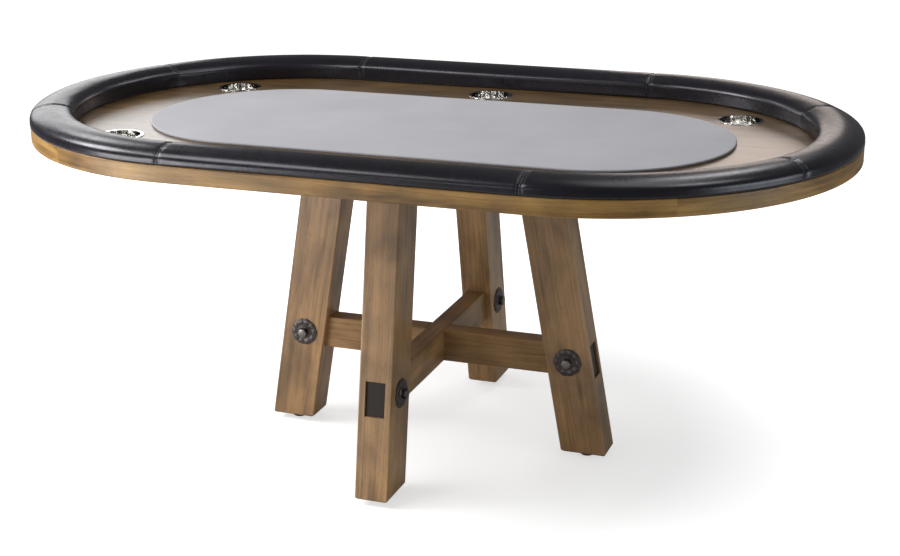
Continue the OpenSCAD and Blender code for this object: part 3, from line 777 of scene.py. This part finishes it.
def hex_piece(name, origin, out, side, up, material, face):
    """A hexagon with chamfered corners and a face: a bolt's shallow dome, or a nut with the bolt's end."""
    rows = HEX_SIDES + face
    points = []
    for height, share in rows:
        for j in range(HEX_AROUND):
            a = 2 * math.pi * j / HEX_AROUND
            flat = math.cos(HEX_SIDE / 2) / math.cos(a % HEX_SIDE - HEX_SIDE / 2)
            r = NUT_R * min(flat, share)
            points.append(origin + (side * math.cos(a) + up * math.sin(a)) * r + out * NUT_T * height)
    faces = ring_faces(len(rows), HEX_AROUND)
    faces.append(tuple(range(HEX_AROUND))[::-1])
    top = (len(rows) - 1) * HEX_AROUND
    faces.append(tuple(top + j for j in range(HEX_AROUND)))
    return mesh_object(name, points, faces, material)


def make_leg_bolts():
    iron = metal("dark_iron", srgb(84, 78, 76), roughness=0.42, speckle=0.35, relief=0.5 * MM,
                 metallic=0.85, scale=300.0)
    steel = metal("bolt_iron", srgb(120, 114, 110), roughness=0.33, speckle=0.25, relief=0.25 * MM,
                  metallic=0.95, scale=420.0)
    washers, heads, nuts = [], [], []
    up = Vector(Z_AXIS)
    for leg, (toward, head) in LEG_BOLTS.items():
        for side_word, kind, out, face, made in (
                ("near", "bolt_head", head, HEAD_FACE, heads), ("far", "nut", -head, NUT_FACE, nuts)):
            spot = toward * BOLT_REACH + Vector((0, 0, BOLT_Z)) + out * LEG_HALF_W
            side = up.cross(out)
            washers.append(star_washer(f"star_washer_{leg}_{side_word}", spot, out, side, up, iron))
            made.append(hex_piece(f"tenon_{kind}_{leg}", spot + out * WASHER_T, out, side, up, steel, face))
    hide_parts("star_washers")
    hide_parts("tenon_bolts")
    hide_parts("tenon_nuts")


# ---------- materials of the CAD nodes ----------

# light, middle and dark colours
HONEY = (srgb(168, 130, 71), srgb(141, 104, 48), srgb(90, 61, 24))
OAK = (srgb(176, 137, 91), srgb(150, 114, 73), srgb(104, 78, 46))
DECK = (srgb(122, 94, 54), srgb(100, 75, 40), srgb(72, 52, 26))
PLY = (srgb(205, 178, 138), srgb(190, 160, 118), srgb(165, 134, 94))


def dress(names, material):
    for name in names:
        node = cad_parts[name]
        node.data.materials.clear()
        node.data.materials.append(material)


def named(start):
    """The CAD nodes whose names start so."""
    return [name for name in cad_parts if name.startswith(start)]


def dress_timber():
    along_x, along_y = along(X_AXIS, Y_AXIS, Z_AXIS), along(Y_AXIS, X_AXIS, Z_AXIS)
    for k, name in enumerate(("apron_front", "apron_right", "apron_back", "apron_left")):
        dress([name], wood(name + "_wood", round_the_oval, HONEY, seed=k + 1.3,
                           coat=0.0, contrast=1.1, mottle=1.4))
    dress(["top_panel"], wood("racetrack_wood", along_x, DECK, seed=9.1, roughness=0.34, coat=1.0))
    for k, (leg, (toward, _)) in enumerate(LEG_BOLTS.items()):
        axis = toward * -math.sin(LEG_LEAN) + Vector((0, 0, math.cos(LEG_LEAN)))
        across = toward.cross(Vector(Z_AXIS))
        grain = along(axis, across, axis.cross(across))
        dress(["leg_" + leg], wood(f"leg_{leg}_wood", grain, OAK, seed=k * 2.3 + 4.7,
                                   contrast=0.8, mottle=1.35))
    for name, grain, axis, seed in (
            ("stretcher_long", along_x, X_AXIS, 21.4), ("stretcher_cross", along_y, Y_AXIS, 22.4)):
        dress([name], wood(name + "_wood", grain, OAK, seed, contrast=0.8, mottle=1.2, stained_and_shaded_axis=axis))
    dress(["beam_long"], wood("beam_long_wood", along_x, OAK, seed=31.0))
    dress(["beam_cross"], wood("beam_cross_wood", along_y, OAK, seed=33.0))
    plywood = wood("plywood", along_y, PLY, seed=41.0, roughness=0.6, coat=0.0)
    dress(["playing_board", "mounting_plate"] + named("rail_core_"), plywood)


def dress_hardware():
    steel = metal("polished_steel", srgb(242, 241, 238), roughness=0.085, speckle=0.03,
                  relief=0.002 * MM, metallic=1.0, scale=90.0)
    zinc, brass = (
        metal(name, colour, roughness=0.35, speckle=0.12, relief=0.1 * MM, metallic=1.0, scale=500.0)
        for name, colour in (("zinc_steel", srgb(186, 188, 190)), ("brass", srgb(190, 158, 88))))
    dress(named("cup_"), steel)
    dress(["plate_screws", "top_bolts", "rail_bolts"] + named("glide_stem_"), zinc)
    dress(["top_inserts", "rail_inserts", "glide_inserts"], brass)
    dress(named("glide_foot_"), plastic("glide_plastic", srgb(52, 42, 36), roughness=0.5))
    dress(named("rail_foam_") + ["playing_foam"], foam())


# ---------- studio ----------

FLOOR_HALF = 40
FLOOR_TONES = ((0.60, 0.60, 0.60), (0.63, 0.63, 0.63))
GLOW_LOW, GLOW_HIGH = 0.60, 1.0             # the floor's glow under the table and away from it
GLOW_NEAR, GLOW_FAR = 0.55, 1.3             # it grows from one distance to the other
SKY_COLOUR = (0.95, 0.97, 1.0, 1)
SKY_LIGHT = 0.14            # how strongly the sky lights the table
SKY_SEEN = 1.1              # how bright it looks, so that the floor has no visible far edge
STUDIO_MIDDLE = Vector((0, 0, 0.7))
LIGHTS = (
    # name, azimuth and height in degrees, distance, width and height in metres, power in watts
    ("key_left", -107, 31, 3.2, 1.1, 1.0, 62),
    ("key_front", -138, 44, 2.7, 1.1, 1.0, 24),
    ("key_low", -114, 14, 2.7, 1.8, 0.8, 26),
    ("leg_light", -137, -8, 3.2, 1.8, 0.4, 38),
    ("front", -168, 11, 3.2, 0.7, 0.6, 4),
    ("back_left", -62, 32, 3.1, 0.6, 0.6, 8),
    ("back", 17, 46, 3.0, 0.45, 1.1, 11),
    ("low_left", -52, 11, 3.3, 1.6, 1.0, 10.5),
    ("low_back", 1, 11, 3.2, 1.0, 0.8, 4.5),
    ("right", 97, 53, 2.7, 0.8, 0.6, 10),
    ("low_right", 100, 2, 3.2, 2.0, 1.0, 25),
    ("overhead", 70, 72, 2.4, 1.8, 1.0, 10.5),
)
LIGHT_TINTS = {"low_right": (0.86, 0.95, 1.0), "low_back": (1.0, 0.87, 0.79)}       # the others are white
NOT_REFLECTED = "key_low"   # it lights the wood, but isn't seen in the vinyl or the metal


def softbox(name, place, width, height, power):
    data = bpy.data.lights.new(name, "AREA")
    data.shape = "RECTANGLE"
    data.size, data.size_y = width, height
    data.energy = power
    data.color = LIGHT_TINTS.get(name, WHITE)
    lamp = bpy.data.objects.new(name, data)
    lamp.location = place
    lamp.rotation_mode = "QUATERNION"
    lamp.rotation_quaternion = (STUDIO_MIDDLE - place).to_track_quat("-Z", "Y")
    lamp.visible_glossy = name != NOT_REFLECTED
    bpy.context.scene.collection.objects.link(lamp)


def make_floor():
    """A plain pale floor, with a faint glow that only the camera sees."""
    mesh = bpy.data.meshes.new("floor")
    corners = [(-1, -1), (1, -1), (1, 1), (-1, 1)]
    mesh.from_pydata([(x * FLOOR_HALF, y * FLOOR_HALF, 0) for x, y in corners], [], [(0, 1, 2, 3)])
    floor = bpy.data.objects.new("floor", mesh)
    bpy.context.scene.collection.objects.link(floor)
    shader = Shader("floor")
    place = shader.place()
    speck = shader.noise(place, scale=3.0, detail=2, roughness=0.5)
    away = shader.add("VectorMath", {0: place}, out="Value", operation="LENGTH")
    glow = shader.levels(away, GLOW_NEAR, GLOW_FAR, GLOW_LOW, GLOW_HIGH)
    seen = shader.add("LightPath", out="Is Camera Ray")
    shader.set(Base_Color=shader.mix(speck, *FLOOR_TONES), Roughness=0.9)
    shader.set(Emission_Color=(*WHITE, 1), Emission_Strength=shader.math("MULTIPLY", glow, seen))
    floor.data.materials.append(shader.material)


def make_sky():
    """A dim sky that looks white to the camera."""
    world = bpy.data.worlds.new("studio")
    bpy.context.scene.world = world
    world.use_nodes = True
    tree = world.node_tree
    sky = tree.nodes["Background"]
    sky.inputs["Color"].default_value = SKY_COLOUR
    path = tree.nodes.new("ShaderNodeLightPath")
    strength = tree.nodes.new("ShaderNodeMath")
    strength.operation = "MULTIPLY_ADD"
    tree.links.new(path.outputs["Is Camera Ray"], strength.inputs[0])
    strength.inputs[1].default_value = SKY_SEEN - SKY_LIGHT
    strength.inputs[2].default_value = SKY_LIGHT
    tree.links.new(strength.outputs[0], sky.inputs["Strength"])


def make_lights():
    for name, azimuth, height, distance, width, tall, power in LIGHTS:
        turn, lift = math.radians(azimuth), math.radians(height)
        way = Vector((math.sin(turn) * math.cos(lift), math.cos(turn) * math.cos(lift), math.sin(lift)))
        softbox(name, STUDIO_MIDDLE + way * distance, width, tall, power)
    bpy.context.scene.view_settings.view_transform = "Standard"


make_camera()
make_rail()
make_playing_surface()
make_leg_bolts()
dress_timber()
dress_hardware()
make_floor()
make_sky()
make_lights()
